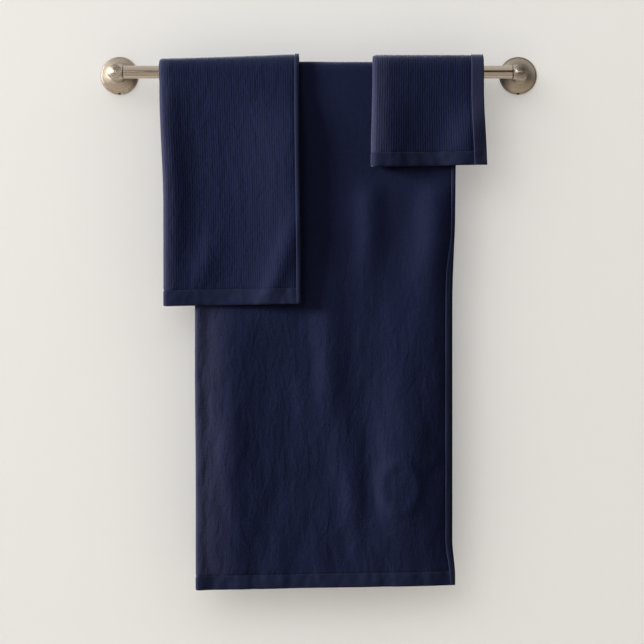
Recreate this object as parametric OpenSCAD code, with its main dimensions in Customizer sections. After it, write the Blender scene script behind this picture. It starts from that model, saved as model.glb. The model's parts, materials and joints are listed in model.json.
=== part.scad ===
// Bath towel set: a bath towel, a hand towel and a washcloth folded over a wall-mounted towel bar.
// Millimetres. +X runs along the bar, +Z is up, and the wall is the plane y = 0, with the room at -Y.
// The origin is on the wall, midway between the two posts, at the height of the bar's axis.

/* [Bar] */
// Distance between the axes of the two posts
post_spacing = 600; // [500:10:900]
// Distance from the wall to the bar's axis
bar_out = 64; // [52:1:90]
// Outer diameter of the bar
bar_d = 19; // [15:0.5:26]
// Wall thickness of the bar's tube
bar_wall = 1.2; // [0.8:0.1:2.5]
// Depth of the bar in each post's socket
bar_grip = 7; // [4:0.5:8]

/* [Posts] */
// Diameter of the round flange against the wall
flange_d = 57; // [56:1:80]
// Thickness of the flange's rim
flange_t = 4.5; // [4.2:0.1:8]
// Radius of the rounding on the rim's front edge
rim_round = 1.5; // [0.5:0.1:2]
// Height of the flange's shallow dome above its rim
flange_rise = 5; // [4.5:0.5:12]
// Radius of the hollow corner between the flange and the neck
neck_fillet = 3; // [1:0.5:6]
// Wall of metal round the bar's socket
socket_wall = 1.2; // [1:0.1:3]
// How far the post's head reaches past the bar's front
head_past_bar = 2; // [1.5:0.5:6]
// Height of the shallow dome on the head's front face
dome_h = 1.2; // [0.5:0.1:3]

/* [Fixings] */
// Diameter of the wall plate inside the flange
plate_d = 43.6; // [42:0.2:46]
// Thickness of the wall plate
plate_t = 4; // [3:0.5:4]
// Distance between the two screws that hold a wall plate
screw_spacing = 28; // [22:1:28]
// Diameter over a wall screw's thread
screw_d = 4; // [3:0.5:4.5]
// Diameter of a wall screw's plain neck, under its head
screw_neck_d = 3.4; // [2.5:0.1:3.6]
// Length of a wall screw under its head
screw_l = 30; // [20:5:50]
// Diameter of a wall screw's head
screw_head_d = 7.6; // [6:0.2:8.4]
// Thickness of a wall screw's head
screw_head_t = 2.4; // [1.5:0.1:3]
// Diameter of the set screw that locks a post to its wall plate
set_screw_d = 4; // [3:0.5:4]
// Distance from the wall to the set screw's axis
set_screw_out = 3.4; // [3:0.1:3.6]

/* [Bath towel] */
// Width of the bath towel as folded in half lengthwise
bath_w = 381; // [300:1:420]
// Thickness of the folded bath towel
bath_t = 6; // [4:0.5:10]
// Drop of the front panel below the bar's axis
bath_front = 762; // [500:1:900]
// Drop of the back panel below the bar's axis
bath_back = 722; // [450:1:880]
// Distance that the bath towel's middle lies to the right of the bar's middle
bath_shift = 11; // [-20:1:20]
// Height of the bath towel's end hems
bath_hem = 21; // [10:0.5:40]
// Width of the bath towel's side hems
bath_side = 6.5; // [4:0.5:12]

/* [Hand towel] */
// Width of the hand towel as folded in half lengthwise
hand_w = 203; // [150:1:250]
// Thickness of the folded hand towel
hand_t = 8; // [5:0.5:12]
// Drop of the front panel below the bar's axis
hand_front = 345; // [250:1:450]
// Drop of the back panel below the bar's axis
hand_back = 303; // [200:1:440]
// Free length of bar between the left socket and the hand towel
hand_gap = 59.5; // [20:0.5:90]
// Height of the hand towel's end hems
hand_hem = 23.5; // [10:0.5:40]
// Width of the hand towel's side hems
hand_side = 6; // [4:0.5:12]

/* [Washcloth] */
// Width of the washcloth as folded in half
wash_w = 165; // [120:1:200]
// Thickness of the folded washcloth
wash_t = 9; // [5:0.5:12]
// Drop of the front panel below the bar's axis
wash_front = 140; // [100:1:220]
// Drop of the back panel below the bar's axis
wash_back = 127; // [90:1:210]
// Free length of bar between the washcloth and the right socket
wash_gap = 42.5; // [15:0.5:90]
// Height of the washcloth's end hems
wash_hem = 20.5; // [10:0.5:30]
// Width of the washcloth's side hems
wash_side = 18.5; // [6:0.5:24]

/* [Clearances] */
// Gap between the bar and the lowest towel, and between one towel and the next
cloth_gap = 0.3; // [0.2:0.1:1]
// Radial running clearance of the bar in its sockets
socket_gap = 0.05; // [0.02:0.01:0.1]
// Gap between the end of the bar and the bottom of a socket
end_play = 1; // [0.5:0.5:2]
// Gap between the two layers of a folded side hem
layer_gap = 0.2; // [0.1:0.1:0.5]
// Clearance of a screw's shank in the wall plate, on the radius
shank_gap = 0.25; // [0.1:0.05:0.5]
// Clearance of a set screw in its hole, on the radius
thread_gap = 0.05; // [0.02:0.01:0.1]
// Clearance round and over the wall plate inside the flange
plate_gap = 0.6; // [0.4:0.1:1]

/* [Hidden] */
$fn = 96;

NAVY = [0.09, 0.11, 0.19];
NAVY_HEM = [0.11, 0.13, 0.22];
NICKEL = [0.68, 0.63, 0.57];
STEEL = [0.55, 0.55, 0.56];
BLACK_STEEL = [0.12, 0.12, 0.13];

past = 1; // how far a cutter runs past what it cuts
bar_r = bar_d / 2;
socket_r = bar_r + socket_gap;
neck_r = socket_r + socket_wall;
head_end = bar_out + bar_r + head_past_bar;
socket_bevel = 0.8; // bevel round the outside of the socket's mouth
mouth_chamfer = 0.3;
socket_face = neck_r + socket_bevel; // the socket's mouth stands just proud of the round neck
socket_floor = socket_face - bar_grip - end_play;
bar_l = post_spacing - 2 * (socket_face - bar_grip);

flange_r = flange_d / 2;
rim_w = 2.5; // width of the flat rim outside the dome
flange_dome_r = flange_r - rim_w;
dome_step = 1.1; // height of the dome's edge above the rim
dome_edge_h = flange_t + dome_step;
dome_curve_r = (flange_dome_r * flange_dome_r + flange_rise * flange_rise) / (2 * flange_rise);
dome_curve_y = dome_edge_h + flange_rise - dome_curve_r;
fillet_x = neck_r + neck_fillet; // centre of the corner's curve, measured from the post's axis
fillet_y = dome_curve_y + sqrt(pow(dome_curve_r + neck_fillet, 2) - fillet_x * fillet_x);
fillet_w = fillet_x * dome_curve_r / (dome_curve_r + neck_fillet); // where the corner meets the dome
plate_room_r = plate_d / 2 + 5 * plate_gap;
plate_room_h = plate_t + plate_gap;
head_room_r = screw_spacing / 2 + screw_head_d / 2 + plate_gap;
head_room_h = plate_t + screw_head_t + plate_gap;
core_r = neck_r - 3; // cored-out middle of the casting
core_h = bar_out - neck_r - 6;

set_hole_r = set_screw_d / 2 + thread_gap;
set_screw_tip = plate_d / 2 + thread_gap;
set_screw_l = flange_r - set_screw_tip - 0.8; // its driven end is just inside the rim
hex_key = 0.5 * set_screw_d;
hex_depth = 0.35 * set_screw_l;
recess_w = screw_head_d / 7;
recess_l = screw_head_d * 0.55;
recess_h = screw_head_t * 0.6;
point_l = 1.5 * screw_d;

sockets_inside = post_spacing / 2 - socket_face; // each socket's mouth, from the bar's middle
bath_in = bar_r + cloth_gap;
bath_out = bath_in + bath_t;
over_in = bath_out + cloth_gap; // the hand towel and the washcloth lie over the bath towel
bath_x = bath_shift - bath_w / 2;
hand_x = -sockets_inside + hand_gap;
wash_x = sockets_inside - wash_gap - wash_w;

// Places its children on the left post (side -1) or, mirrored, on the right one (side 1)
module on_post(side) {
    translate([side * post_spacing / 2, 0, 0])
        mirror([side > 0 ? 1 : 0, 0, 0])
            children();
}

// Turns a shape about its vertical axis into one about the post's axis, growing away from the wall
module out_of_wall() {
    rotate([90, 0, 0])
        children();
}

module towel_bar() {
    color(NICKEL)
        translate([-bar_l / 2, -bar_out, 0])
            rotate([0, 90, 0])
                difference() {
                    cylinder(h = bar_l, d = bar_d);
                    translate([0, 0, -past])
                        cylinder(h = bar_l + 2 * past, r = bar_r - bar_wall);
                }
}

// Outline of the rim: a disc with a rounded front edge
module rim_outline() {
    square([flange_r - rim_round, flange_t]);
    square([flange_r, flange_t - rim_round]);
    translate([flange_r - rim_round, flange_t - rim_round])
        circle(r = rim_round);
}

// Outline of the flange's dome inside the rim, with a hollow corner up to the neck
module dome_outline() {
    square([flange_dome_r, dome_edge_h]);
    intersection() {
        translate([0, dome_curve_y])
            circle(r = dome_curve_r);
        square([flange_dome_r, dome_edge_h + flange_rise]);
    }
    difference() {
        square([fillet_w, fillet_y]);
        translate([fillet_x, fillet_y])
            circle(r = neck_fillet);
    }
}

// Outline of the head: a neck that ends in a shallow dome
module head_outline() {
    dome_r = (neck_r * neck_r + dome_h * dome_h) / (2 * dome_h);
    square([neck_r, head_end - dome_h]);
    intersection() {
        translate([0, head_end - dome_r])
            circle(r = dome_r);
        translate([0, head_end - 2 * dome_h])
            square([neck_r, 2 * dome_h]);
    }
}

// Outline of the hollow in the back of the post, which takes the wall plate and its screws
module hollow_outline() {
    translate([0, -past])
        square([plate_room_r, plate_room_h + past]);
    square([head_room_r, head_room_h]);
    square([core_r, core_h]);
}

module post(side) {
    color(NICKEL)
        on_post(side)
            difference() {
                union() {
                    out_of_wall()
                        rotate_extrude()
                            difference() {
                                union() {
                                    rim_outline();
                                    dome_outline();
                                    head_outline();
                                }
                                hollow_outline();
                            }
                    translate([0, -bar_out, 0])
                        rotate([0, 90, 0]) {
                            cylinder(h = socket_face - socket_bevel, r = neck_r);
                            translate([0, 0, socket_face - socket_bevel])
                                cylinder(h = socket_bevel, r1 = neck_r, r2 = neck_r - socket_bevel);
                        }
                }
                translate([socket_floor, -bar_out, 0])
                    rotate([0, 90, 0])
                        cylinder(h = socket_face, r = socket_r);
                translate([socket_face - mouth_chamfer, -bar_out, 0])
                    rotate([0, 90, 0])
                        cylinder(h = mouth_chamfer + past, r1 = socket_r, r2 = socket_r + mouth_chamfer + past);
                translate([0, -set_screw_out, -flange_r - past])
                    cylinder(h = flange_r + past - plate_d / 2, r = set_hole_r);
            }
}

module wall_plate(side) {
    color(STEEL)
        on_post(side)
            out_of_wall()
                difference() {
                    cylinder(h = plate_t, d = plate_d);
                    for (up = [-1, 1])
                        translate([0, up * screw_spacing / 2, -past])
                            cylinder(h = plate_t + 2 * past, r = screw_d / 2 + shank_gap);
                }
}

module set_screw(side) {
    color(BLACK_STEEL)
        on_post(side)
            translate([0, -set_screw_out, -set_screw_tip - set_screw_l])
                difference() {
                    cylinder(h = set_screw_l, d = set_screw_d);
                    translate([0, 0, -past])
                        cylinder(h = hex_depth + past, d = hex_key, $fn = 6);
                }
}

// One wall screw: a flat head with a cross recess, a plain neck, a thread and a pointed end
module wall_screw() {
    difference() {
        union() {
            translate([0, 0, plate_t])
                cylinder(h = screw_head_t, d = screw_head_d);
            cylinder(h = plate_t, d = screw_neck_d);
            translate([0, 0, plate_t - screw_l + point_l])
                cylinder(h = screw_l - point_l - plate_t, d = screw_d);
            translate([0, 0, plate_t - screw_l])
                cylinder(h = point_l, d1 = 0.2 * screw_d, d2 = screw_d);
        }
        for (turn = [0, 90])
            translate([0, 0, plate_t + screw_head_t - recess_h / 2 + past / 2])
                rotate([0, 0, turn])
                    cube([recess_l, recess_w, recess_h + past], center = true);
    }
}

module plate_screws(side) {
    color(STEEL)
        on_post(side)
            out_of_wall()
                for (up = [-1, 1])
                    translate([0, up * screw_spacing / 2, 0])
                        wall_screw();
}

// Cloth folded over the bar: seen along the bar, an arch with a straight leg down each side.
// x is its left edge, w its width, inner and outer its radii about the bar, front and back its drops.
module draped(x, w, inner, outer, front, back) {
    translate([x, -bar_out, 0])
        rotate([90, 0, 90])
            linear_extrude(height = w) {
                difference() {
                    circle(r = outer);
                    circle(r = inner);
                    translate([-outer - past, -outer - past])
                        square([2 * outer + 2 * past, outer + past]);
                }
                translate([-outer, -front])
                    square([outer - inner, front]);
                translate([inner, -back])
                    square([outer - inner, back]);
            }
}

// The main cloth of a towel, between its end hems and up to its side hems
module towel_body(x, w, side, inner, t, front, back, hem) {
    color(NAVY)
        draped(x, w - side, inner, inner + t, front - hem, back - hem);
}

// The two side hems of a towel folded in half lengthwise, one over the other at its right edge
module side_hems(x, w, side, inner, t, front, back, hem) {
    middle = inner + t / 2;
    color(NAVY_HEM) {
        draped(x + w - side, side, inner, middle - layer_gap / 2, front - hem, back - hem);
        draped(x + w - side, side, middle + layer_gap / 2, inner + t, front - hem, back - hem);
    }
}

// The turned-up hem across one end of a towel: facing is -1 at the front and 1 at the back
module end_hem(x, w, inner, t, drop, hem, facing) {
    color(NAVY_HEM)
        translate([x, -bar_out + (facing > 0 ? inner : -inner - t), -drop])
            cube([w, t, hem]);
}

module bath_towel() {
    towel_body(bath_x, bath_w, bath_side, bath_in, bath_t, bath_front, bath_back, bath_hem);
}

module bath_towel_side_hems() {
    side_hems(bath_x, bath_w, bath_side, bath_in, bath_t, bath_front, bath_back, bath_hem);
}

module bath_towel_front_hem() {
    end_hem(bath_x, bath_w, bath_in, bath_t, bath_front, bath_hem, -1);
}

module bath_towel_back_hem() {
    end_hem(bath_x, bath_w, bath_in, bath_t, bath_back, bath_hem, 1);
}

module hand_towel() {
    towel_body(hand_x, hand_w, hand_side, over_in, hand_t, hand_front, hand_back, hand_hem);
}

module hand_towel_side_hems() {
    side_hems(hand_x, hand_w, hand_side, over_in, hand_t, hand_front, hand_back, hand_hem);
}

module hand_towel_front_hem() {
    end_hem(hand_x, hand_w, over_in, hand_t, hand_front, hand_hem, -1);
}

module hand_towel_back_hem() {
    end_hem(hand_x, hand_w, over_in, hand_t, hand_back, hand_hem, 1);
}

module washcloth() {
    towel_body(wash_x, wash_w, wash_side, over_in, wash_t, wash_front, wash_back, wash_hem);
}

module washcloth_side_hems() {
    side_hems(wash_x, wash_w, wash_side, over_in, wash_t, wash_front, wash_back, wash_hem);
}

module washcloth_front_hem() {
    end_hem(wash_x, wash_w, over_in, wash_t, wash_front, wash_hem, -1);
}

module washcloth_back_hem() {
    end_hem(wash_x, wash_w, over_in, wash_t, wash_back, wash_hem, 1);
}

towel_bar();
post(-1);  // left_post
post(1);  // right_post
wall_plate(-1);  // left_wall_plate
wall_plate(1);  // right_wall_plate
set_screw(-1);  // left_set_screw
set_screw(1);  // right_set_screw
plate_screws(-1);  // left_plate_screws
plate_screws(1);  // right_plate_screws
bath_towel();
bath_towel_front_hem();
bath_towel_back_hem();
bath_towel_side_hems();
hand_towel();
hand_towel_front_hem();
hand_towel_back_hem();
hand_towel_side_hems();
washcloth();
washcloth_front_hem();
washcloth_back_hem();
washcloth_side_hems();
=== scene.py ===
import json
import math
from collections import namedtuple

import bmesh
import bpy
from mathutils import Matrix, Vector, noise

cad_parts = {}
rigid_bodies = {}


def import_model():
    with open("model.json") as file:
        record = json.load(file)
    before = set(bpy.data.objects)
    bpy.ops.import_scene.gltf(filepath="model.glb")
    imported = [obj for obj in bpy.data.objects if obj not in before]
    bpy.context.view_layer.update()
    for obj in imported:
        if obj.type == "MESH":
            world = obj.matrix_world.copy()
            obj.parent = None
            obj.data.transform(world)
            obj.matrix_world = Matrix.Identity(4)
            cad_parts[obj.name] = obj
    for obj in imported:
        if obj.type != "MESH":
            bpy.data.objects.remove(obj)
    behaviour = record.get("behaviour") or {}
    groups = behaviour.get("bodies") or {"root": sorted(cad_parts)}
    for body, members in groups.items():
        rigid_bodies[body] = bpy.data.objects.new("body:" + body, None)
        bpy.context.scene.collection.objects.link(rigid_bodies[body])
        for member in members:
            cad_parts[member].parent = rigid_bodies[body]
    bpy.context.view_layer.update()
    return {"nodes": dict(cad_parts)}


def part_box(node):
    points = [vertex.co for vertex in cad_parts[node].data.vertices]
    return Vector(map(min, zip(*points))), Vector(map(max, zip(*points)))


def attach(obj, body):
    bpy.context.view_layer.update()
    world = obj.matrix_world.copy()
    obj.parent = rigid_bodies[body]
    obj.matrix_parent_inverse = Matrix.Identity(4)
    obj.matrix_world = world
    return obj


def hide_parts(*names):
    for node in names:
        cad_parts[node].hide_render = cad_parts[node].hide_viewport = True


bl_info = {
    "name": "Bath towel set",
    "version": (1, 0, 0),
    "blender": (4, 5, 0),
    "location": "View3D > Sidebar > Towels",
    "description": "Builds a bath towel, a hand towel and a washcloth folded over a wall-mounted towel bar",
    "category": "Add Mesh",
}

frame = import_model()
MM = 0.001

# ---------------------------------------------------------------- places taken from the frame

BAR_LOW, BAR_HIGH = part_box("towel_bar")
BAR_Y = (BAR_LOW.y + BAR_HIGH.y) / 2
BAR_R = (BAR_HIGH.z - BAR_LOW.z) / 2
BAR_SEAT = 7.0 * MM  # how far each end of the bar sits in its socket
SOCKET_MOUTH = BAR_HIGH.x - BAR_SEAT

Towel = namedtuple("Towel", "name left width front back hem side inner")


def towel_from_frame(name):
    """Reads a folded towel's place and sizes from its CAD nodes: edges, drops, hems and distance from the bar."""
    front_low, front_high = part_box(name + "_front_hem")
    back_low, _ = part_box(name + "_back_hem")
    side_low, side_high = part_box(name + "_side_hems")
    return Towel(
        name=name,
        left=front_low.x,
        width=front_high.x - front_low.x,
        front=-front_low.z,
        back=-back_low.z,
        hem=front_high.z - front_low.z,
        side=side_high.x - side_low.x,
        inner=BAR_Y - front_high.y,
    )


BATH = towel_from_frame("bath_towel")
HAND = towel_from_frame("hand_towel")
WASH = towel_from_frame("washcloth")

# ---------------------------------------------------------------- settings shown in the sidebar


def length_setting(name, description, default, low, high):
    return bpy.props.FloatProperty(
        name=name, description=description, default=default, min=low, max=high, unit="LENGTH", subtype="DISTANCE",
    )


def colour_setting(name, description, default):
    return bpy.props.FloatVectorProperty(
        name=name, description=description, default=default, size=3, min=0, max=1, subtype="COLOR",
    )


def power_setting(name, description, default, high=500):
    return bpy.props.FloatProperty(
        name=name, description=description, default=default, min=0, max=high, unit="POWER",
    )


class TowelSettings(bpy.types.PropertyGroup):
    """Sizes and colours of the cloth."""

    cloth: length_setting(
        "Cloth thickness", "Thickness of one layer of towelling, pile and all", 2.7 * MM, 1 * MM, 6 * MM,
    )
    hem_cloth: length_setting("Hem thickness", "Thickness of a turned and sewn hem", 3.1 * MM, 1 * MM, 8 * MM)
    stitch: length_setting("Stitch length", "Length of one stitch along a hem", 3.0 * MM, 1 * MM, 6 * MM)
    navy: colour_setting("Navy", "Colour of the dyed pile", (0.0045, 0.0059, 0.0178))
    navy_hem: colour_setting("Hem navy", "Colour of the hems", (0.0054, 0.0071, 0.0190))
    rib_pitch: length_setting("Rib pitch", "Distance between the ribs of the pile", 3.4 * MM, 1 * MM, 10 * MM)


class MetalSettings(bpy.types.PropertyGroup):
    """Colours of the metal parts."""

    nickel: colour_setting("Nickel", "Colour of the brushed nickel plate", (0.64, 0.55, 0.45))
    steel: colour_setting("Steel", "Colour of the plated steel fixings", (0.55, 0.55, 0.56))


class StageSettings(bpy.types.PropertyGroup):
    """The wall, the floor and the lights."""

    wall: colour_setting("Wall", "Colour of the painted wall", (0.865, 0.865, 0.86))
    floor_drop: length_setting("Floor below bar", "How far the floor lies below the bar", 1.3, 0.9, 2.0)
    window_power: power_setting(
        "Window light", "Power of the light from the left of the room, on the set only", 25.0,
    )
    fill_power: power_setting("Fill light", "Power of the broad light from behind the camera", 43.0)
    skim_power: power_setting(
        "Skimming light", "Power of the light that skims the set from the left, on the set only", 480.0, 900,
    )
    wash_power: power_setting(
        "Wall light", "Power of the broad light on the wall and floor only, past the set's shadow", 80.0,
    )
    behind_power: power_setting("Light from behind", "Power of the light on the set's back only", 180.0)


# ---------------------------------------------------------------- small tools


def smooth_step(low, high, x):
    """0 below low, 1 above high, and an even S between them."""
    t = min(max((x - low) / (high - low), 0.0), 1.0)
    return t * t * (3 - 2 * t)


def bell(x, centre, width):
    """1 at the centre, falling to nothing over about two widths."""
    return math.exp(-(((x - centre) / width) ** 2))


def stations(*stretches):
    """Distances along an edge, from stretches of (start, end, step), each divided evenly."""
    found = [stretches[0][0]]
    for start, end, step in stretches:
        count = max(1, round(abs(end - start) / step))
        found += [start + (end - start) * i / count for i in range(1, count + 1)]
    return found


def new_piece(name, bm, material, body, smooth=True):
    """Makes an object of a finished bmesh at the origin and hangs it on its body."""
    mesh = bpy.data.meshes.new(name)
    for face in bm.faces:
        face.smooth = smooth
    bm.to_mesh(mesh)
    bm.free()
    mesh.materials.append(material)
    piece = bpy.data.objects.new(name, mesh)
    bpy.context.scene.collection.objects.link(piece)
    if body:
        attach(piece, body)
    return piece


# ---------------------------------------------------------------- shader nodes


class Graph:
    """A thin helper that adds nodes to a tree and joins them."""

    def __init__(self, tree):
        self.tree = tree

    def add(self, kind, **inputs):
        """Adds a node. A keyword that names a node property sets it, and any other is an input socket."""
        node = self.tree.nodes.new("ShaderNode" + kind)
        for key, value in inputs.items():
            if hasattr(node, key) and key[0].islower():
                setattr(node, key, value)
        for key, value in inputs.items():
            if not (hasattr(node, key) and key[0].islower()):
                self.put(node.inputs[key.replace("_", " ")], value)
        return node

    def put(self, socket, value):
        if isinstance(value, bpy.types.NodeSocket):
            self.tree.links.new(value, socket)
        else:
            socket.default_value = value

    def math(self, operation, *values, clamp=False):
        node = self.tree.nodes.new("ShaderNodeMath")
        node.operation, node.use_clamp = operation, clamp
        for socket, value in zip(node.inputs, values):
            self.put(socket, value)
        return node.outputs[0]

    def mix(self, factor, a, b):
        node = self.tree.nodes.new("ShaderNodeMix")
        node.data_type = "RGBA"
        self.put(node.inputs["Factor"], factor)
        for socket, value in ((node.inputs[6], a), (node.inputs[7], b)):
            self.put(socket, value)
        return node.outputs[2]

    def ramp(self, value, low, high, out_low=0.0, out_high=1.0):
        node = self.add("MapRange", Value=value)
        node.inputs["From Min"].default_value = low
        node.inputs["From Max"].default_value = high
        node.inputs["To Min"].default_value = out_low
        node.inputs["To Max"].default_value = out_high
        return node.outputs[0]


def node_group(name, inputs, outputs):
    """A new shader node group with the named sockets, its graph and its two end nodes."""
    tree = bpy.data.node_groups.new(name, "ShaderNodeTree")
    for label, kind, default in inputs:
        socket = tree.interface.new_socket(label, in_out="INPUT", socket_type="NodeSocket" + kind)
        if default is not None:
            socket.default_value = default
    for label, kind in outputs:
        tree.interface.new_socket(label, in_out="OUTPUT", socket_type="NodeSocket" + kind)
    return Graph(tree), tree.nodes.new("NodeGroupInput"), tree.nodes.new("NodeGroupOutput")


def group_node(graph, tree, **inputs):
    node = graph.tree.nodes.new("ShaderNodeGroup")
    node.node_tree = tree
    for key, value in inputs.items():
        graph.put(node.inputs[key.replace("_", " ")], value)
    return node


def new_material(name):
    """An empty node material: its graph, its Principled shader and the material."""
    material = bpy.data.materials.new(name)
    material.use_nodes = True
    material.node_tree.nodes.clear()
    graph = Graph(material.node_tree)
    shader = graph.add("BsdfPrincipled")
    output = graph.add("OutputMaterial")
    graph.tree.links.new(shader.outputs[0], output.inputs[0])
    return graph, shader, material


def made_once(make):
    """Keeps what a making function returns, so that each group and material is built once."""
    kept = {}

    def get(*key):
        if key not in kept:
            kept[key] = make(*key)
        return kept[key]

    return get


@made_once
def pile_group():
    """Cut pile in ribs: lines across the first coordinate, broken up along the second, over a fine nap."""
    graph, ends_in, ends_out = node_group(
        "pile",
        [("Vector", "Vector", None), ("Rib pitch", "Float", 0.003), ("Rib depth", "Float", 0.5),
         ("Dark", "Color", None), ("Light", "Color", None)],
        [("Color", "Color"), ("Height", "Float"), ("Roughness", "Float")],
    )
    source = ends_in.outputs["Vector"]
    parts = graph.add("SeparateXYZ", Vector=source)
    wander = graph.add("TexNoise", Vector=source, Scale=60.0, Detail=2.0)
    across = graph.math("DIVIDE", parts.outputs[0], ends_in.outputs["Rib pitch"])
    across = graph.math("ADD", across, graph.math("MULTIPLY", wander.outputs[0], 0.55))
    rib = graph.math("SINE", graph.math("MULTIPLY", across, 2 * math.pi))
    rib = graph.ramp(rib, -1, 1)
    stretched = graph.add("Mapping", Vector=source)
    stretched.inputs["Scale"].default_value = (420, 60, 1)
    broken = graph.add("TexNoise", Vector=stretched.outputs[0], Scale=1.0, Detail=2.0)
    nap = graph.add("TexNoise", Vector=source, Scale=900.0, Detail=3.0, Roughness=0.65)
    clumps = graph.add("TexNoise", Vector=source, Scale=170.0, Detail=3.0, Roughness=0.6)
    patches = graph.add("TexNoise", Vector=source, Scale=11.0, Detail=4.0, Roughness=0.55)
    rib_height = graph.math("MULTIPLY", rib, broken.outputs[0])
    rib_height = graph.math("MULTIPLY", rib_height, ends_in.outputs["Rib depth"])
    height = graph.math("ADD", rib_height, graph.math("MULTIPLY", nap.outputs[0], 0.5))
    height = graph.math("ADD", height, graph.math("MULTIPLY", clumps.outputs[0], 0.7))
    # The colour is darker in the rib grooves, a painted shade, and varies at random with the clumps and patches.
    clumped = graph.math("MULTIPLY", clumps.outputs[0], 0.55)
    shade = graph.math("ADD", graph.math("MULTIPLY", rib_height, 0.8), clumped)
    shade = graph.math("ADD", shade, graph.math("MULTIPLY", patches.outputs[0], 0.5))
    shade = graph.ramp(shade, 0.35, 1.05)
    colour = graph.mix(shade, ends_in.outputs["Dark"], ends_in.outputs["Light"])
    rough = graph.ramp(nap.outputs[0], 0.3, 0.7, 0.82, 1.0)
    for label, value in (("Color", colour), ("Height", height), ("Roughness", rough)):
        graph.put(ends_out.inputs[label], value)
    return graph.tree


# The pale and deep colours of the painted light and shade on the pile.
PAINTED_LIT_PILE = (0.020, 0.0212, 0.040, 1)
PAINTED_SHADE_PILE = (0.0010, 0.0025, 0.0115, 1)


@made_once
def painted_light_group():
    """Painted light and shade on the pile: paler where the cloth turns to its left, towards the light from the
    left, plus a painted highlight given by the second input, and deeper where it turns to its right.
    """
    graph, ends_in, ends_out = node_group(
        "pile lean", [("Color", "Color", None), ("Open", "Float", 0.0)], [("Color", "Color")],
    )
    turned = graph.add("SeparateXYZ", Vector=graph.add("TexCoord").outputs["Normal"]).outputs[0]
    pale = graph.math("ADD", graph.ramp(turned, -0.03, -0.60, 0.0, 0.30), ends_in.outputs["Open"])
    deep = graph.ramp(turned, 0.03, 0.45, 0.0, 0.35)
    colour = graph.mix(pale, ends_in.outputs["Color"], PAINTED_LIT_PILE)
    graph.put(ends_out.inputs["Color"], graph.mix(deep, colour, PAINTED_SHADE_PILE))
    return graph.tree


def shaded(colour, factor):
    return (*[c * factor for c in colour], 1.0)


@made_once
def pile_material(name, turned, rib_depth, bump, creases, painted_highlight):
    """Velour pile, with painted light and shade. turned lays the ribs across the towel instead of along it.
    creases is the height of the small wrinkles towards the front end, and the last argument how far beside the
    fold the pile gets a painted highlight."""
    cloth = bpy.context.scene.towel_settings
    graph, shader, material = new_material(name)
    uv = graph.add("UVMap", uv_map="Cloth")
    lie = graph.add("Mapping", Vector=uv.outputs[0])
    lie.inputs["Rotation"].default_value = (0, 0, math.pi / 2 if turned else 0)
    pile = group_node(
        graph, pile_group(), Vector=lie.outputs[0], Rib_pitch=cloth.rib_pitch * (0.75 if turned else 1.0),
        Rib_depth=rib_depth, Dark=shaded(cloth.navy, 0.78), Light=shaded(cloth.navy, 1.25),
    )
    # A painted highlight on the pile beside the fold, fading out over the last argument's reach, then painted
    # light and shade by the way the cloth turns.
    across = graph.math("ABSOLUTE", graph.add("SeparateXYZ", Vector=uv.outputs[0]).outputs[0])
    fold_highlight_mask = graph.ramp(across, 0.007, painted_highlight + 0.007, 0.50, 0.0)
    with_painted_light = group_node(graph, painted_light_group(), Color=pile.outputs["Color"], Open=fold_highlight_mask)
    graph.put(shader.inputs["Base Color"], with_painted_light.outputs["Color"])
    graph.put(shader.inputs["Roughness"], pile.outputs["Roughness"])
    drawn = graph.add("Mapping", Vector=uv.outputs[0])
    drawn.inputs["Scale"].default_value = (75, 26, 1)
    drawn.inputs["Rotation"].default_value = (0, 0, 0.12)
    wrinkle = graph.add(
        "TexNoise", Vector=drawn.outputs[0], Scale=1.0, Detail=3.0, Roughness=0.6, Distortion=0.6,
    )
    along = graph.add("SeparateXYZ", Vector=uv.outputs[0])
    low = graph.ramp(along.outputs[1], 0.52, 0.34, 0.35, 1.0)
    wrinkled = graph.math("MULTIPLY", wrinkle.outputs[0], low)
    soft = graph.add("Bump", Height=wrinkled, Strength=creases, Distance=0.004)
    raised = graph.add(
        "Bump", Height=pile.outputs["Height"], Strength=bump, Distance=0.0006, Normal=soft.outputs[0],
    )
    graph.put(shader.inputs["Normal"], raised.outputs[0])
    velvet(shader)
    return material


def velvet(shader):
    """The soft rim of light on pile that is seen edge on."""
    shader.inputs["Sheen Weight"].default_value = 0.24
    shader.inputs["Sheen Roughness"].default_value = 0.35
    shader.inputs["Sheen Tint"].default_value = (0.75, 0.82, 0.96, 1)
    shader.inputs["Specular IOR Level"].default_value = 0.02


@made_once
def hem_material(name, painted_highlight):
    """The turned hem: the same cloth pressed flat, with a fine weave, and painted light and shade. The last
    argument is how strongly the whole hem gets a painted highlight.
    """
    cloth = bpy.context.scene.towel_settings
    graph, shader, material = new_material(name)
    uv = graph.add("UVMap", uv_map="Cloth")
    pile = group_node(
        graph, pile_group(), Vector=uv.outputs[0], Rib_pitch=1.6 * MM, Rib_depth=0.35,
        Dark=shaded(cloth.navy_hem, 0.8), Light=shaded(cloth.navy_hem, 1.25),
    )
    with_painted_light = group_node(graph, painted_light_group(), Color=pile.outputs["Color"], Open=painted_highlight)
    graph.put(shader.inputs["Base Color"], with_painted_light.outputs["Color"])
    graph.put(shader.inputs["Roughness"], pile.outputs["Roughness"])
    raised = graph.add("Bump", Height=pile.outputs["Height"], Strength=0.5, Distance=0.0005)
    graph.put(shader.inputs["Normal"], raised.outputs[0])
    velvet(shader)
    return material


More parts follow.
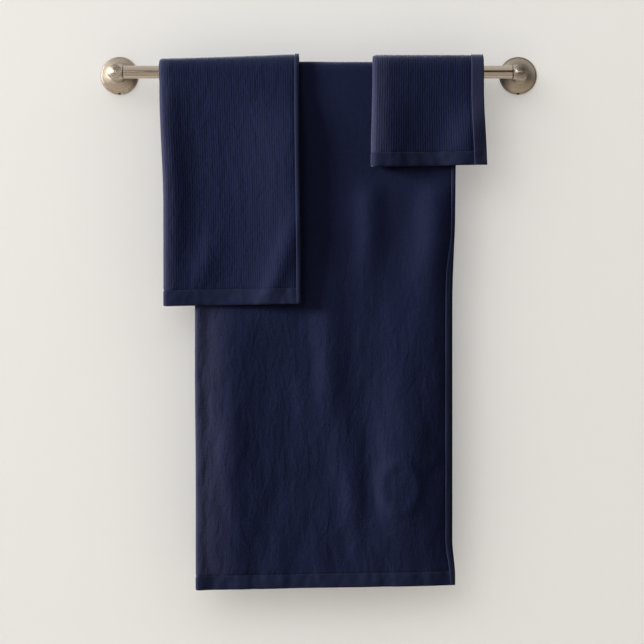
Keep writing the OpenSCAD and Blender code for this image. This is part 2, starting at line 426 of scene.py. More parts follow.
@made_once
def thread_material():
    cloth = bpy.context.scene.towel_settings
    graph, shader, material = new_material("navy_thread")
    place = graph.add("TexCoord").outputs["Object"]
    twist = graph.add("TexWave", Vector=place, Scale=900.0, Distortion=1.0, bands_direction="DIAGONAL")
    # The thread is darker than the pile: partly its own tone, partly a painted shade for the sunken stitch line.
    colour = graph.mix(twist.outputs[1], shaded(cloth.navy, 0.25), shaded(cloth.navy, 0.6))
    graph.put(shader.inputs["Base Color"], colour)
    graph.put(shader.inputs["Roughness"], graph.ramp(twist.outputs[1], 0, 1, 0.55, 0.75))
    raised = graph.add("Bump", Height=twist.outputs[1], Strength=0.4, Distance=0.0002)
    graph.put(shader.inputs["Normal"], raised.outputs[0])
    return material


# ---------------------------------------------------------------- metal


@made_once
def brushed_group():
    """Brushing: fine lines with slow cloudiness. Lines is the coordinate across the brushing."""
    graph, ends_in, ends_out = node_group(
        "brushing",
        [("Lines", "Float", 0.0), ("Place", "Vector", None), ("Base", "Color", None), ("Rough", "Float", 0.3)],
        [("Color", "Color"), ("Height", "Float"), ("Roughness", "Float")],
    )
    lines = ends_in.outputs["Lines"]
    fine_lines, wide_lines = graph.math("MULTIPLY", lines, 5200.0), graph.math("MULTIPLY", lines, 420.0)
    fine = graph.add("TexNoise", noise_dimensions="1D", W=fine_lines, Scale=1.0, Detail=3.0)
    wide = graph.add("TexNoise", noise_dimensions="1D", W=wide_lines, Scale=1.0, Detail=2.0)
    cloud = graph.add("TexNoise", Vector=ends_in.outputs["Place"], Scale=35.0, Detail=3.0)
    fine_share, wide_share = (graph.math("MULTIPLY", n.outputs[0], k) for n, k in ((fine, 0.6), (wide, 0.4)))
    streak = graph.math("ADD", fine_share, wide_share)
    mask = graph.ramp(streak, 0.3, 0.7)
    dark = graph.mix(0.42, ends_in.outputs["Base"], (0.05, 0.04, 0.03, 1))
    graph.put(ends_out.inputs["Color"], graph.mix(mask, dark, ends_in.outputs["Base"]))
    graph.put(ends_out.inputs["Height"], streak)
    cloudy = graph.ramp(cloud.outputs[0], 0.3, 0.7, -0.03, 0.04)
    uneven = graph.math("ADD", graph.ramp(streak, 0.3, 0.7, -0.05, 0.05), cloudy)
    rough = graph.math("ADD", ends_in.outputs["Rough"], uneven)
    graph.put(ends_out.inputs["Roughness"], rough)
    return graph.tree


@made_once
def post_material(name, centre_x):
    """Nickel turned on a lathe: the brushing runs in circles about the post's axis."""
    metal = bpy.context.scene.metal_settings
    graph, shader, material = new_material(name)
    place = graph.add("TexCoord").outputs["Object"]
    shifted = graph.add("Mapping", Vector=place)
    shifted.inputs["Location"].default_value = (-centre_x, 0, 0)
    parts = graph.add("SeparateXYZ", Vector=shifted.outputs[0])
    squares = [graph.math("POWER", parts.outputs[i], 2.0) for i in (0, 2)]
    out = graph.math("POWER", graph.math("ADD", *squares), 0.5)
    lines = graph.math("ADD", out, graph.math("MULTIPLY", parts.outputs[1], 0.7))
    brushed = group_node(
        graph, brushed_group(), Lines=lines, Place=place, Base=(*metal.nickel, 1), Rough=0.28,
    )
    finish_metal(graph, shader, brushed, 0.8, "Y")
    return material


@made_once
def bar_material():
    """Nickel tube: the brushing runs round the bar's length in fine lines along it."""
    metal = bpy.context.scene.metal_settings
    graph, shader, material = new_material("brushed_nickel_bar")
    place = graph.add("TexCoord").outputs["Object"]
    parts = graph.add("SeparateXYZ", Vector=place)
    turn = graph.math("ARCTAN2", parts.outputs[2], graph.math("SUBTRACT", parts.outputs[1], BAR_Y))
    lines = graph.math("MULTIPLY", turn, BAR_R)
    # A thin near-black ring on the bar next to each socket's mouth: a painted shadow of the gap between bar and
    # post.
    reach = graph.math("ABSOLUTE", parts.outputs[0])
    seam_shadow_mask = graph.ramp(reach, SOCKET_MOUTH - 1.4 * MM, SOCKET_MOUTH - 0.7 * MM)
    tone = graph.mix(seam_shadow_mask, (*metal.nickel, 1), (0.07, 0.055, 0.04, 1))
    brushed = group_node(graph, brushed_group(), Lines=lines, Place=place, Base=tone, Rough=0.15)
    finish_metal(graph, shader, brushed, 0.6, "X")
    return material


def finish_metal(graph, shader, brushed, anisotropy, axis):
    """Plated metal whose highlights are drawn out across its brushing, about the given axis."""
    tangent = graph.add("Tangent", direction_type="RADIAL", axis=axis)
    graph.put(shader.inputs["Tangent"], tangent.outputs[0])
    graph.put(shader.inputs["Base Color"], brushed.outputs["Color"])
    graph.put(shader.inputs["Roughness"], brushed.outputs["Roughness"])
    raised = graph.add("Bump", Height=brushed.outputs["Height"], Strength=0.12, Distance=0.0001)
    graph.put(shader.inputs["Normal"], raised.outputs[0])
    shader.inputs["Metallic"].default_value = 1.0
    shader.inputs["Anisotropic"].default_value = anisotropy
    shader.inputs["Anisotropic Rotation"].default_value = 0.25


BLACK_STEEL = (0.03, 0.03, 0.032)


@made_once
def fixing_material(name, tone, roughness):
    """Plated steel of the hidden fixings, slightly mottled."""
    graph, shader, material = new_material(name)
    place = graph.add("TexCoord").outputs["Object"]
    spots = graph.add("TexNoise", Vector=place, Scale=260.0, Detail=4.0)
    spotted = graph.ramp(spots.outputs[0], 0.35, 0.65)
    graph.put(shader.inputs["Base Color"], graph.mix(spotted, shaded(tone, 0.8), shaded(tone, 1.0)))
    rough = graph.ramp(spots.outputs[0], 0.3, 0.7, roughness - 0.07, roughness + 0.1)
    graph.put(shader.inputs["Roughness"], rough)
    raised = graph.add("Bump", Height=spots.outputs[0], Strength=0.2, Distance=0.0001)
    graph.put(shader.inputs["Normal"], raised.outputs[0])
    shader.inputs["Metallic"].default_value = 1.0
    return material


def dress_node(name, material):
    """Gives a CAD node a finished material. Its mesh and place stay as they are."""
    mesh = frame["nodes"][name].data
    mesh.materials.clear()
    mesh.materials.append(material)


# ---------------------------------------------------------------- cloth shapes

# A soft rise in a towel's front: across and down are its middle, from the left fold and from the bar,
# half_across and half_down its spread, lean its slant (metres across per metre down) and rise its height.
Swell = namedtuple("Swell", "across down half_across half_down lean rise")

BATH_SWELLS = [
    Swell(0.256, 0.215, 0.020, 0.085, 0.00, 0.0062),
    Swell(0.355, 0.235, 0.026, 0.110, 0.00, 0.0095),
    Swell(0.052, 0.540, 0.040, 0.220, 0.00, 0.0078),
    Swell(0.202, 0.430, 0.023, 0.110, 0.03, 0.0060),
    Swell(0.318, 0.560, 0.042, 0.180, -0.03, 0.0105),
    Swell(0.238, 0.640, 0.018, 0.090, 0.15, 0.0035),
]
HAND_SWELLS = [
    Swell(0.013, 0.170, 0.023, 0.150, 0.02, 0.0040),
    Swell(0.196, 0.120, 0.045, 0.120, 0.00, 0.0040),
    Swell(0.182, 0.262, 0.018, 0.060, -0.35, 0.0050),
    Swell(0.060, 0.290, 0.020, 0.050, -0.30, 0.0050),
    Swell(0.160, 0.318, 0.012, 0.030, -0.50, 0.0028),
]
WASH_SWELLS = [
    Swell(0.024, 0.080, 0.026, 0.080, 0.00, 0.0030),
    Swell(0.146, 0.080, 0.026, 0.070, -0.30, 0.0085),
]
# A small oval ridge low on the bath towel: its middle, half widths, and the ridge's breadth and height
Ridge = namedtuple("Ridge", "across down half_across half_down breadth rise")
BATH_RIDGE = Ridge(0.307, 0.612, 0.027, 0.036, 0.24, 0.0019)


def swell_height(swells, across, down):
    total = 0.0
    for s in swells:
        middle = s.across + s.lean * (down - s.down)
        total += s.rise * bell(across, middle, s.half_across) * bell(down, s.down, s.half_down)
    return total


def crumple(across, down, size, seed):
    """Small soft creases that run mostly down the cloth."""
    return noise.fractal(Vector((across / size, down / (size * 2.6), seed)), 0.9, 2.1, 3)


class Drape:
    """The shape of one towel: folded in half lengthwise with the fold at the left, then hung over the bar."""

    pucker = 1.1 * MM
    # Strength of the painted highlight on the side hems.
    side_painted_highlight = 0.08

    def __init__(self, towel, swells, fold, relax, snug, seed, cloth):
        """fold is the radius of the left fold, relax how far from it the cloth lies flat again, and snug the
        share of its roundness that is left where the towel meets the bar."""
        self.t = towel
        self.swells = swells
        self.fold, self.relax, self.snug = fold, relax, snug
        self.seed = seed
        self.half_gap = cloth / 2 + 0.1 * MM
        self.middle = towel.inner + 2 * self.half_gap
        self.arch = math.pi * self.middle
        self.length = towel.front + self.arch + towel.back
        self.cut_width = 2 * towel.width

    def front_weight(self, down):
        """How freely the cloth moves: nothing on the bar, full well below it."""
        return smooth_step(0.015, 0.10, down)

    def lift(self, side, x, down, outer):
        """Extra distance of a layer from the bar: swells, creases and how this towel lies over the next."""
        if side == "back":
            calm = 0.0012 * self.front_weight(down) * (1 + crumple(x, down, 0.09, self.seed + 7))
            return -calm * 0.3
        swell = swell_height(self.swells, x, down) + self.creases(down) * crumple(x, down, 0.035, self.seed)
        at_hem = smooth_step(self.t.front - self.t.hem - 0.014, self.t.front - self.t.hem + 0.002, down)
        swell += self.pucker * at_hem * crumple(x, down * 1.6, 0.011, self.seed + 3)
        return max(swell, -0.0015) * self.front_weight(down)

    def creases(self, down):
        """Height of the small creases at a distance below the bar."""
        return 0.0004

    def top_radius(self, x, outer):
        """Radius of a layer about the bar, over the top."""
        return self.middle + (self.half_gap if outer else -self.half_gap)

    def edges(self, side, down, outer):
        """Where the left and right edges run, as small shifts from the straight ones."""
        return 0.0, 0.0

    def tucked(self, side, down, left, right):
        """The same edges, drawn in a little on the back panel so that it hides behind the front one."""
        tuck = 0.002 * smooth_step(0.0, 0.06, down) if side == "back" else 0.0
        return left + tuck, right - tuck

    def drop(self, side, x):
        """Length of the straight part on one side of the bar."""
        return self.t.front if side == "front" else self.t.back

    def at(self, across, along):
        """The point of the cloth's middle surface at a distance across from the fold (negative on the inner
        layer) and along from the front end. along is 0 at the front edge and length at the back edge."""
        outer = across >= 0
        reach = abs(across)
        fold_r = self.fold
        quarter = math.pi / 2 * fold_r
        if reach < quarter:
            turn = reach / fold_r
            x, bow = fold_r * (1 - math.cos(turn)), math.sin(turn)
        else:
            x, bow = fold_r + reach - quarter, 1.0
        relaxed = 1 - smooth_step(fold_r, self.relax, x)
        share = x / self.t.width
        x *= self.t.width / (self.t.width - (quarter - fold_r))
        front, back = self.drop("front", x), self.drop("back", x)
        scale = self.length / (front + self.arch + back)
        run = along / scale
        radius_turn = (run - front) / (self.arch / math.pi)
        if run < front:
            side, down = "front", front - run
            slack = self.snug + (1 - self.snug) * smooth_step(0.0, 0.06, down)
        elif radius_turn > math.pi:
            side, down = "back", run - front - self.arch
            slack = 0.2 * smooth_step(0.0, 0.06, down)
        else:
            side, down = "top", 0.0
            slack = self.snug * max(0.0, math.cos(radius_turn)) ** 2
        inner_r, outer_r = self.top_radius(x, False), self.top_radius(x, True)
        half = (outer_r - inner_r) / 2
        half += max(0.0, fold_r - half) * slack * relaxed
        radius = inner_r + half + half * bow * (1 if outer else -1)
        if side != "top":
            radius += self.lift(side, x, down, outer)
        left, right = self.edges(side, down, outer)
        world_x = self.t.left + x + left * (1 - share) + right * share
        if side == "front":
            return Vector((world_x, BAR_Y - radius, -down))
        if side == "back":
            return Vector((world_x, BAR_Y + radius, -down))
        return Vector((world_x, BAR_Y - radius * math.cos(radius_turn), radius * math.sin(radius_turn)))


class BathDrape(Drape):
    def edges(self, side, down, outer):
        if side != "front":
            away = smooth_step(0.06, 0.25, down)
            return 0.002 * away, -0.007 * away
        left = 0.0012 * smooth_step(0.45, 0.6, down)
        right = 0.002 * (1 - smooth_step(0.1, 0.3, down)) - 0.003 * smooth_step(0.22, 0.34, down)
        right += 0.0042 * smooth_step(0.690, 0.745, down)
        if outer:
            right -= 0.0045 * smooth_step(0.24, 0.30, down) - 0.0025 * smooth_step(0.690, 0.745, down)
        return left, right

    def drop(self, side, x):
        if side == "back":
            return self.t.back
        return self.t.front - 0.007 * (x / self.t.width) + 0.002

    def creases(self, down):
        return 0.0006 + 0.0012 * smooth_step(0.33, 0.50, down)

    def lift(self, side, x, down, outer):
        value = super().lift(side, x, down, outer)
        if side == "front":
            ring = BATH_RIDGE
            reach = math.hypot((x - ring.across) / ring.half_across, (down - ring.down) / ring.half_down)
            value += ring.rise * bell(reach, 1.0, ring.breadth)
            hand_right = HAND.left + HAND.width - self.t.left
            under_hand = 1 - smooth_step(hand_right, hand_right + 0.02, x)
            under_hand *= 1 - smooth_step(HAND.front, HAND.front + 0.04, down)
            under_wash = smooth_step(WASH.left - self.t.left - 0.02, WASH.left - self.t.left, x)
            under_wash *= 1 - smooth_step(WASH.front, WASH.front + 0.04, down)
            value *= smooth_step(WASH.front, WASH.front + 0.05, down) * (1 - max(under_hand, under_wash))
            value -= 0.0028 * bell(x, self.t.width, 0.02) * smooth_step(0.15, 0.3, down)
        return value


class HandDrape(Drape):
    def on_bath(self, x):
        """1 where the towel lies over the bath towel, 0 where it lies on the bare bar."""
        return smooth_step(BATH.left - self.t.left - 0.004, BATH.left - self.t.left + 0.030, x)

    def top_radius(self, x, outer):
        if outer:
            return 19.0 * MM + 6.6 * MM * (x / self.t.width) ** 1.3
        return 13.6 * MM + 4.6 * MM * self.on_bath(x)

    def lift(self, side, x, down, outer):
        value = super().lift(side, x, down, outer)
        if side == "front":
            value += 0.0055 * smooth_step(0.45, 1.0, x / self.t.width) * self.front_weight(down)
        else:
            value += 0.0052 * (1 - self.on_bath(x)) * self.front_weight(down)
        return value

    def edges(self, side, down, outer):
        left = -0.0038 + 0.0012 * smooth_step(0.0, 0.02, down) + 0.0061 * smooth_step(0.02, 0.2, down)
        right = -0.002 + 0.003 * smooth_step(0.0, 0.33, down)
        if not outer:
            right -= 0.0015
        return self.tucked(side, down, left, right)

    def drop(self, side, x):
        if side == "back":
            return self.t.back
        return self.t.front + 0.001 - 0.004 * (x / self.t.width)


class WashDrape(Drape):
    # A stronger painted highlight on the washcloth's side hems.
    side_painted_highlight = 0.30

    def top_radius(self, x, outer):
        return 24.2 * MM if outer else 18.9 * MM

    def edges(self, side, down, outer):
        left = 0.001 - 0.0025 * smooth_step(0.0, 0.14, down)
        right = -0.0016 + 0.0050 * smooth_step(0.03, 0.15, down)
        return self.tucked(side, down, left, right)

    def drop(self, side, x):
        if side == "back":
            return self.t.back
        return self.t.front + 0.001 - 0.003 * (x / self.t.width)


# ---------------------------------------------------------------- cloth pieces


def cloth_piece(name, drape, across, along, weight, thickness, material):
    """A patch of the towel's cloth over the given stations. weight(a, l) is the share of thickness there."""
    bm = bmesh.new()
    bmesh.ops.create_grid(bm, x_segments=len(across) - 1, y_segments=len(along) - 1, size=0.5)
    uv = bm.loops.layers.uv.new("Cloth")
    share = bm.verts.layers.deform.new()
    flat = {}
    for vert in bm.verts:
        i = round((vert.co.x + 0.5) * (len(across) - 1))
        j = round((vert.co.y + 0.5) * (len(along) - 1))
        flat[vert] = (across[i], along[j])
    for face in bm.faces:
        for loop in face.loops:
            loop[uv].uv = flat[loop.vert]
    for vert, (a, l) in flat.items():
        vert.co = drape.at(a, l)
        vert[share][0] = weight(a, l)
    bmesh.ops.reverse_faces(bm, faces=bm.faces)
    piece = new_piece(name, bm, material, drape.t.name)
    piece.vertex_groups.new(name="thickness")
    body = piece.modifiers.new("Thickness", "SOLIDIFY")
    body.thickness, body.offset = thickness, 0.0
    body.vertex_group, body.thickness_vertex_group = "thickness", 0.0
    return piece


def edge_round(distance, reach):
    """Share of the full thickness at a distance from a rounded edge."""
    t = min(max(distance / reach, 0.0), 1.0)
    return max(0.12, math.sqrt(max(0.0, 1 - (1 - t) ** 2)))


def fold_stations(half, edge):
    """Stations from the fold at 0 out to the cloth's edge, close together at the fold and at the edge."""
    return [(0.0, 0.012, 0.0012), (0.012, 0.040, 0.0035), (0.040, half - edge - 0.004, 0.0058),
            (half - edge - 0.004, half - edge, 0.0010)]


def towel_pieces(drape, material, cloth, hem_cloth, stitch):
    """All the pieces of one towel: its main cloth, two end hems, two side hems and the rows of stitches."""
    t = drape.t
    half = t.width
    side, hem, length = t.side, t.hem, drape.length
    tuck = 2.2 * MM
    outward = stations(*fold_stations(half, side - tuck))
    across = [-a for a in reversed(outward[1:])] + outward
    bar_start, bar_end = t.front, t.front + drape.arch
    along = stations(
        (hem - tuck, hem + 0.004, 0.0010), (hem + 0.004, bar_start - 0.010, 0.0060),
        (bar_start - 0.010, bar_end + 0.010, 0.0026), (bar_end + 0.010, length - hem - 0.004, 0.0060),
        (length - hem - 0.004, length - hem + tuck, 0.0010),
    )

    def main_weight(a, l):
        inside = min(half - side + tuck - abs(a), l - hem + tuck, length - hem + tuck - l)
        return 0.30 + 0.70 * smooth_step(0.0, 0.0052, inside)

    main = cloth_piece(t.name + "_cloth", drape, across, along, main_weight, cloth, material)
    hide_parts(t.name)
    # The end hems get a faint painted highlight and the side hems the towel's own amount.
    hem_look = hem_material("navy_hem", 0.03)
    side_look = hem_material("navy_side_hem", drape.side_painted_highlight)
    wide_out = stations(
        (0.0, 0.012, 0.0012), (0.012, 0.040, 0.0035), (0.040, half - 0.003, 0.0036), (half - 0.003, half, 0.0006),
    )
    wide = [-a for a in reversed(wide_out[1:])] + wide_out
    for end, start in (("front", 0.0), ("back", length - hem)):
        rows = stations((start, start + 0.003, 0.0006), (start + 0.003, start + hem - 0.002, 0.0040),
                        (start + hem - 0.002, start + hem, 0.0005))

        def hem_weight(a, l, start=start):
            inside = min(half - abs(a), l - start, start + hem - l)
            return edge_round(inside, 0.0034)

        band = cloth_piece(
            f"{t.name}_{end}_hem_band", drape, wide, rows, hem_weight, hem_cloth, hem_look,
        )
        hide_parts(f"{t.name}_{end}_hem")
    end_rows = stations((0.0, 0.003, 0.0006), (0.003, hem - tuck, 0.0040))
    whole = end_rows + along[1:] + [length - l for l in reversed(end_rows[:-1])]
    for label, sign in (("outer", 1), ("inner", -1)):
        inner_edge = half - side
        ladder = stations(
            (inner_edge, inner_edge + 0.002, 0.0005), (inner_edge + 0.002, half - 0.0025, 0.0022),
            (half - 0.0025, half, 0.0006),
        )
        columns = [sign * a for a in ladder] if sign > 0 else [-a for a in reversed(ladder)]

        def side_weight(a, l):
            return edge_round(min(half - abs(a), abs(a) - inner_edge, l, length - l), 0.0018)

        thick = hem_cloth * (1.5 if sign > 0 else 1.0)
        strip = cloth_piece(
            f"{t.name}_{label}_side_hem", drape, columns, whole, side_weight, thick, side_look,
        )
    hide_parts(t.name + "_side_hems")
    threads = stitch_rows(drape, hem_cloth, stitch)


def stitch_rows(drape, hem_cloth, stitch):
    """Rows of small thread stitches just inside each hem's edge, on the outward face of the outer layer."""
    t, rows = drape.t, []
    half, length = t.width, drape.length
    inset, gap = 1.3 * MM, 0.7 * MM
    pitch = stitch + gap
    front_row, back_row, side_row = t.hem - inset, length - t.hem + inset, half - t.side + inset
    crosswise = steps(0.004, half - t.side - 0.001, pitch)
    lengthwise = steps(0.003, length - 0.004, pitch)
    lines = {
        "front_stitches": [((a, front_row), (a + stitch, front_row)) for a in crosswise],
        "back_stitches": [((a, back_row), (a + stitch, back_row)) for a in crosswise],
        "side_stitches": [((side_row, l), (side_row, l + stitch)) for l in lengthwise],
    }
    for label, ends in lines.items():
        bm = bmesh.new()
        for (a0, l0), (a1, l1) in ends:
            start, end = drape.at(a0, l0), drape.at(a1, l1)
            outward = outward_normal(drape, (a0 + a1) / 2, (l0 + l1) / 2)
            add_stitch(bm, start, end, outward, hem_cloth / 2 - 0.15 * MM)
        rows.append(new_piece(f"{t.name}_{label}", bm, thread_material(), t.name))
    return rows


def steps(start, end, pitch):
    return [start + i * pitch for i in range(int((end - start) / pitch))]


def outward_normal(drape, a, l):
    small = 0.5 * MM
    across = drape.at(a + small, l) - drape.at(a - small, l)
    along = drape.at(a, l + small) - drape.at(a, l - small)
    return across.cross(along).normalized()


def add_stitch(bm, start, end, outward, lift):
    """One stitch: a six-sided spindle of thread lying on the hem."""
    along = end - start
    made = bmesh.ops.create_uvsphere(bm, u_segments=6, v_segments=4, radius=1.0)["verts"]
    side = along.normalized().cross(outward)
    shape = Matrix((side * 0.45 * MM, outward * 0.40 * MM, along * 0.5)).transposed().to_4x4()
    place = Matrix.Translation((start + end) / 2 + outward * lift)
    bmesh.ops.transform(bm, matrix=place @ shape, verts=made)


# ---------------------------------------------------------------- stage


def build_wall_and_floor(stage):
    """A painted wall that meets a pale floor in a soft curve, seen only from the room's side."""
    bm = bmesh.new()
    drop, cove, reach, rise = stage.floor_drop, 0.12, 6.0, 3.0
    profile = [Vector((-reach, 0, rise)), Vector((-reach, 0, -drop + cove))]
    profile += [Vector((-reach, -cove + cove * math.cos(a), -drop + cove - cove * math.sin(a)))
                for a in [math.pi / 2 * i / 8 for i in range(1, 9)]]
    profile.append(Vector((-reach, -2 * reach, -drop)))
    verts = [bm.verts.new(p) for p in profile]
    edges = [bm.edges.new(pair) for pair in zip(verts, verts[1:])]
    swept = bmesh.ops.extrude_edge_only(bm, edges=edges)["geom"]
    far_side = [g for g in swept if isinstance(g, bmesh.types.BMVert)]
    bmesh.ops.translate(bm, verts=far_side, vec=(2 * reach, 0, 0))
    bmesh.ops.recalc_face_normals(bm, faces=bm.faces)
    facing = sum((f.normal.y for f in bm.faces if abs(f.normal.y) > 0.9), 0.0)
    if facing > 0:
        bmesh.ops.reverse_faces(bm, faces=bm.faces)
    wall = new_piece("wall_and_floor", bm, wall_material(), None)


FLOOR_TONE = (0.56, 0.51, 0.45, 1)


def wall_material():
    """Matt paint with a faint roller texture. Its back is clear, so that the set can be seen from behind."""
    stage = bpy.context.scene.stage_settings
    graph, shader, material = new_material("painted_wall")
    place = graph.add("TexCoord").outputs["Object"]
    texture = graph.add("TexNoise", Vector=place, Scale=180.0, Detail=4.0)
    cloud = graph.add("TexNoise", Vector=place, Scale=1.3, Detail=2.0)
    cloudy = graph.ramp(cloud.outputs[0], 0.3, 0.7)
    colour = graph.mix(cloudy, shaded(stage.wall, 0.985), shaded(stage.wall, 1.01))
    out_in_room = graph.add("SeparateXYZ", Vector=place).outputs[1]
    colour = graph.mix(graph.ramp(out_in_room, -0.10, -0.35), colour, FLOOR_TONE)
    graph.put(shader.inputs["Base Color"], colour)
    shader.inputs["Roughness"].default_value = 0.9
    shader.inputs["Specular IOR Level"].default_value = 0.2
    raised = graph.add("Bump", Height=texture.outputs[0], Strength=0.05, Distance=0.0006)
    graph.put(shader.inputs["Normal"], raised.outputs[0])
    clear = graph.add("BsdfTransparent")
    side = graph.add("NewGeometry").outputs["Backfacing"]
    mixed = graph.add("MixShader")
    graph.put(mixed.inputs[0], side)
    graph.put(mixed.inputs[1], shader.outputs[0])
    graph.put(mixed.inputs[2], clear.outputs[0])
    graph.put(graph.tree.nodes["Material Output"].inputs[0], mixed.outputs[0])
    return material


SOFT_WHITE = (1.0, 0.99, 0.97)


def add_light(name, power, size, place, target, colour=SOFT_WHITE):
    data = bpy.data.lights.new(name, "AREA")
    data.shape, data.size, data.size_y = "RECTANGLE", size[0], size[1]
    data.energy, data.color = power, colour
    lamp = bpy.data.objects.new(name, data)
    lamp.location = place
    lamp.rotation_euler = (Vector(target) - Vector(place)).to_track_quat("-Z", "Y").to_euler()
    bpy.context.scene.collection.objects.link(lamp)
    return lamp


def patch_of_room(graph, way, middle, edge, full, outside, inside):
    """A round soft patch of the room about a direction. edge and full are cosines of its reach."""
    dot = graph.tree.nodes.new("ShaderNodeVectorMath")
    dot.operation = "DOT_PRODUCT"
    graph.put(dot.inputs[0], way)
    graph.put(dot.inputs[1], Vector(middle).normalized())
    return graph.ramp(dot.outputs["Value"], edge, full, outside, inside)


def build_world():
    """An even pale room: bright on the left, with a dark doorway opposite the wall and a little right."""
    world = bpy.data.worlds.new("room")
    bpy.context.scene.world = world
    world.use_nodes = True
    world.node_tree.nodes.clear()
    graph = Graph(world.node_tree)
    way = graph.add("TexCoord").outputs["Generated"]
    parts = graph.add("SeparateXYZ", Vector=way)
    up = graph.ramp(parts.outputs[2], 0.06, 0.42, 0.0, 0.46)
    window = patch_of_room(graph, way, (-0.62, -0.76, 0.12), 0.82, 0.95, 0.0, 0.50)
    side = patch_of_room(graph, way, (0.78, -0.62, 0.05), 0.80, 0.95, 0.0, 0.20)
    doorway = patch_of_room(graph, way, (0.26, -1.0, 0.09), 0.78, 0.965, 1.0, 0.08)
    level = graph.math("ADD", graph.math("ADD", 0.26, side), graph.math("ADD", window, up))
    back = graph.add("Background", Color=(1.0, 0.985, 0.96, 1), Strength=graph.math("MULTIPLY", level, doorway))
    out = graph.add("OutputWorld")
    graph.put(out.inputs[0], back.outputs[0])


def light_the_set():
    """A window on the left and a skimming light on the set only, a broad fill on everything, a wash on the wall
    and floor only, which the set doesn't block, and a light from behind the wall for the set's back."""
    stage = bpy.context.scene.stage_settings
    daylight = (1.0, 0.985, 0.955)
    window = add_light("window", stage.window_power, (1.2, 0.8), (-1.58, -3.4, 0.42), (0, 0, -0.1), daylight)
    fill = add_light("fill", stage.fill_power, (3.6, 2.8), (-0.9, -4.3, 1.5), (0, 0, -0.3))
    wash = add_light("wash", stage.wash_power, (3.0, 2.4), (-2.4, -4.0, 1.9), (-0.3, 0, -0.1))
    skim = add_light("skim", stage.skim_power, (1.0, 1.0), (-3.2, -1.15, 0.70), (0, 0, -0.2))
    behind = add_light("behind", stage.behind_power, (2.4, 2.4), (1.2, 3.0, 1.4), (0, 0, -0.3))
    for lamp in (fill, wash, skim, behind):
        lamp.visible_glossy = False
    set_only = bpy.data.collections.new("set_only")
    for piece in bpy.context.scene.objects:
        if piece.type == "MESH" and piece.name != "wall_and_floor":
            set_only.objects.link(piece)
    room_only = bpy.data.collections.new("room_only")
    room_only.objects.link(bpy.data.objects["wall_and_floor"])
    for lamp in (window, skim, behind):
        lamp.light_linking.receiver_collection = set_only
    behind.light_linking.blocker_collection = set_only
    wash.light_linking.receiver_collection = room_only
    wash.light_linking.blocker_collection = room_only


def build_camera():
    """A long lens a little below the hand towel's middle and right of the set's, shifted to frame the set."""
    data = bpy.data.cameras.new("camera")
    data.lens, data.sensor_width = 126.1, 36.0
    data.shift_x, data.shift_y = -0.0714, -0.073
    camera = bpy.data.objects.new("camera", data)
    camera.location = (0.074, -3.4, -0.300)
    camera.rotation_euler = (math.pi / 2, 0, 0)
    bpy.context.scene.collection.objects.link(camera)
    bpy.context.scene.camera = camera


# ---------------------------------------------------------------- operators


class BuildOperator:
    bl_options = {"REGISTER", "UNDO"}


class TOWELS_OT_stage(BuildOperator, bpy.types.Operator):
    """Builds the wall, the floor, the room's soft light and the camera"""

    bl_idname = "towels.stage"
    bl_label = "Stage"

    def execute(self, context):
        stage = context.scene.stage_settings
        context.scene.view_settings.view_transform = "Standard"
        build_wall_and_floor(stage)
        build_world()
        build_camera()
        return {"FINISHED"}


class TOWELS_OT_lights(BuildOperator, bpy.types.Operator):
    """Adds the lights, once the pieces that they light are built"""

    bl_idname = "towels.lights"
    bl_label = "Lights"

    def execute(self, context):
        light_the_set()
        return {"FINISHED"}


class TOWELS_OT_bar(BuildOperator, bpy.types.Operator):
    """Finishes the towel bar, the posts and their fixings"""

    bl_idname = "towels.bar"
    bl_label = "Bar and posts"

    def execute(self, context):
        metal = context.scene.metal_settings
        dress_node("towel_bar", bar_material())
        for side in ("left", "right"):
            low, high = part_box(side + "_wall_plate")
            dress_node(side + "_post", post_material(f"brushed_nickel_{side}_post", (low.x + high.x) / 2))
            dress_node(side + "_wall_plate", fixing_material("zinc_plate", tuple(metal.steel), 0.5))
            dress_node(side + "_plate_screws", fixing_material("screw_steel", tuple(metal.steel), 0.35))
            dress_node(side + "_set_screw", fixing_material("black_steel", BLACK_STEEL, 0.45))
        return {"FINISHED"}


class TOWELS_OT_bath_towel(BuildOperator, bpy.types.Operator):
    """Builds the bath towel with its hems and stitching"""

    bl_idname = "towels.bath_towel"
    bl_label = "Bath towel"

    def execute(self, context):
        s = context.scene.towel_settings
        drape = BathDrape(BATH, BATH_SWELLS, 3.2 * MM, 0.020, 0.2, 3.0, s.cloth)
        pile = pile_material("navy_velour_cross", True, 0.7, 0.8, 0.55, 0.055)
        towel_pieces(drape, pile, s.cloth, s.hem_cloth, s.stitch)
        return {"FINISHED"}


class TOWELS_OT_hand_towel(BuildOperator, bpy.types.Operator):
    """Builds the hand towel with its hems and stitching"""

    bl_idname = "towels.hand_towel"
    bl_label = "Hand towel"

    def execute(self, context):
        s = context.scene.towel_settings
        drape = HandDrape(HAND, HAND_SWELLS, 5.6 * MM, 0.055, 0.35, 11.0, s.cloth)
        pile = pile_material("navy_velour_ribbed", False, 0.75, 0.8, 0.5, 0.014)
        towel_pieces(drape, pile, s.cloth, s.hem_cloth, s.stitch)
        return {"FINISHED"}


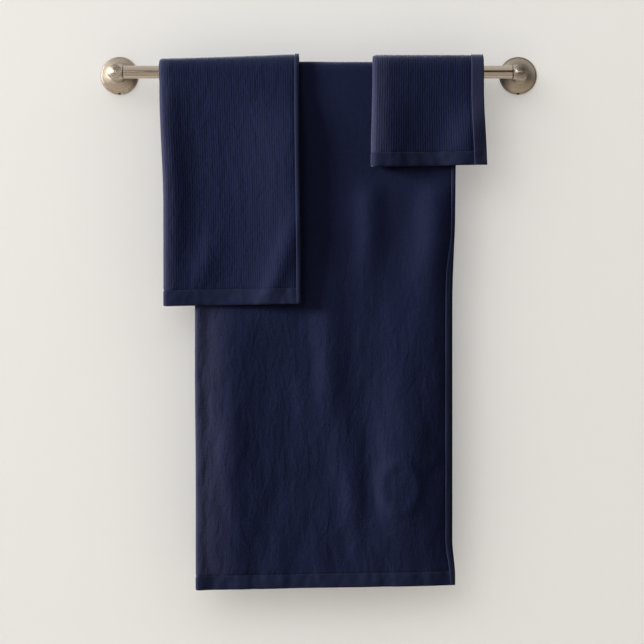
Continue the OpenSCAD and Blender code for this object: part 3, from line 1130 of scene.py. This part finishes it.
class TOWELS_OT_washcloth(BuildOperator, bpy.types.Operator):
    """Builds the washcloth with its hems and stitching"""

    bl_idname = "towels.washcloth"
    bl_label = "Washcloth"

    def execute(self, context):
        s = context.scene.towel_settings
        drape = WashDrape(WASH, WASH_SWELLS, 7.5 * MM, 0.100, 0.45, 23.0, s.cloth)
        pile = pile_material("navy_velour_short", False, 1.0, 0.9, 0.35, 0.026)
        towel_pieces(drape, pile, s.cloth, s.hem_cloth, s.stitch)
        return {"FINISHED"}


OPERATORS = (TOWELS_OT_stage, TOWELS_OT_bar, TOWELS_OT_bath_towel, TOWELS_OT_hand_towel, TOWELS_OT_washcloth,
             TOWELS_OT_lights)


class TOWELS_PT_panel(bpy.types.Panel):
    """Lists the towel set's settings and the steps that build it"""

    bl_idname = "TOWELS_PT_panel"
    bl_label = "Bath towel set"
    bl_space_type = "VIEW_3D"
    bl_region_type = "UI"
    bl_category = "Towels"

    def draw(self, context):
        scene = context.scene
        for settings in (scene.towel_settings, scene.metal_settings, scene.stage_settings):
            for name in settings.bl_rna.properties.keys():
                if name not in ("rna_type", "name"):
                    self.layout.prop(settings, name)
        for operator in OPERATORS:
            self.layout.operator(operator.bl_idname)


CLASSES = (TowelSettings, MetalSettings, StageSettings, *OPERATORS, TOWELS_PT_panel)


def register():
    for one in CLASSES:
        bpy.utils.register_class(one)
    bpy.types.Scene.towel_settings = bpy.props.PointerProperty(type=TowelSettings)
    bpy.types.Scene.metal_settings = bpy.props.PointerProperty(type=MetalSettings)
    bpy.types.Scene.stage_settings = bpy.props.PointerProperty(type=StageSettings)


def unregister():
    for name in ("towel_settings", "metal_settings", "stage_settings"):
        delattr(bpy.types.Scene, name)
    for one in reversed(CLASSES):
        bpy.utils.unregister_class(one)


def main():
    register()
    bpy.ops.towels.stage()
    bpy.ops.towels.bar()
    bpy.ops.towels.bath_towel()
    bpy.ops.towels.hand_towel()
    bpy.ops.towels.washcloth()
    bpy.ops.towels.lights()
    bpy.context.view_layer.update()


if __name__ == "__main__":
    main()
